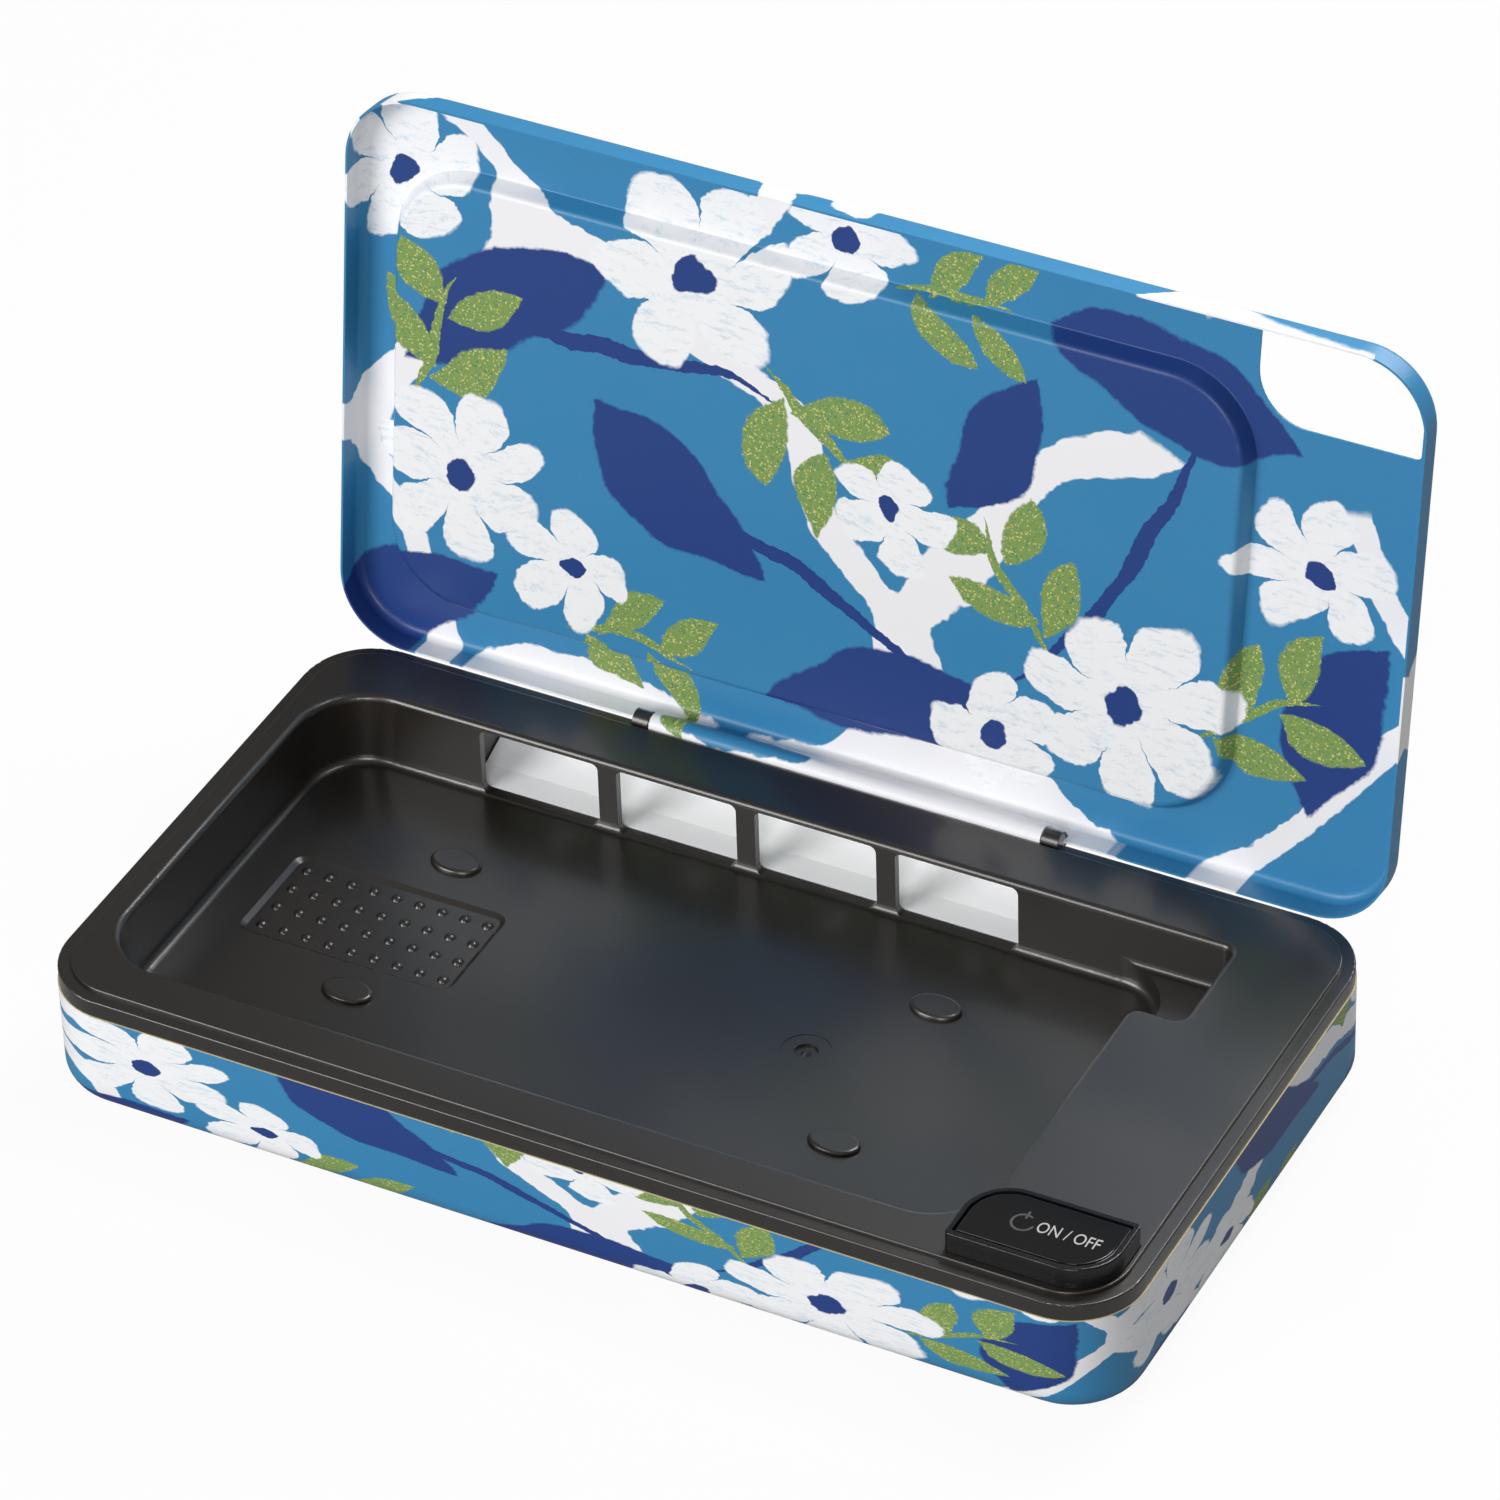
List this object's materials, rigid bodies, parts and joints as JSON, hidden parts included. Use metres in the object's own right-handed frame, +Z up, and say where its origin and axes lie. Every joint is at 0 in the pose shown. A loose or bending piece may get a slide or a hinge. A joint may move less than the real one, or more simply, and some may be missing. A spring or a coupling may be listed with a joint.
{
  "type": "phone sanitizer box",
  "caption": "Shallow hinged tin with a moulded insert: a basin for a phone, lit by ultraviolet lamps through side windows, and a push button on the deck.",
  "frame": {"origin": "centre of the box's footprint, on the surface that the feet stand on", "axes": "+X to the user's right along the hinge, +Y to the hinge side, +Z up; the lid is open at rest"},
  "size_m": [0.2, 0.1274, 0.1311],
  "materials": {
    "printed_tin": "printed satin lacquer",
    "black_moulding": "satin moulded",
    "smoky_plastic": "polished",
    "button_plastic": "polished",
    "label_film": "glossy film",
    "clear_plastic": "clear moulded",
    "white_moulding": "moulded",
    "steel_wire": "drawn",
    "reflector_sheet": "satin reflective",
    "circuit_board": "solder mask",
    "lamp_ceramic": "smooth",
    "cable_sheath": "smooth",
    "chip_plastic": "moulded",
    "ferrite": "pressed",
    "can_metal": "drawn",
    "socket_steel": "formed",
    "screw_steel": "zinc plated",
    "foot_rubber": "matte"
  },
  "bodies": {
    "base": {"tin_base": "printed_tin", "insert_tray": "black_moulding", "button_bezel": "smoky_plastic", "hinge_pin": "steel_wire", "reflector": "reflector_sheet", "uv_led_board": "circuit_board", "control_board": "circuit_board", "uv_leds": "lamp_ceramic", "indicator_led": "lamp_ceramic", "lamp_socket": "white_moulding", "board_socket": "white_moulding", "led_cable": "cable_sheath", "control_chip": "chip_plastic", "boost_coil": "ferrite", "capacitors": "can_metal", "lid_sensor": "chip_plastic", "tact_switch": "chip_plastic", "usb_socket": "socket_steel", "usb_bezel": "black_moulding", "board_screws": "screw_steel", "base_screws": "screw_steel", "rubber_feet": "foot_rubber"},
    "lid": {"lid": "printed_tin"},
    "button": {"button_cap": "button_plastic", "button_label": "label_film", "light_guide": "clear_plastic", "switch_plunger": "white_moulding"}
  },
  "joints": [
    {"name": "lid_hinge", "type": "hinge", "parent": "base", "child": "lid", "pos_m": [0, 0.05345, 0.02525], "axis": [1, 0, 0], "range_deg": [0, 98]},
    {"name": "button_press", "type": "slide", "parent": "base", "child": "button", "axis": [0, 0, 1], "range_m": [-0.0006, 0], "stiffness_N_per_m": 1500, "springref_m": 0.0006}
  ]
}
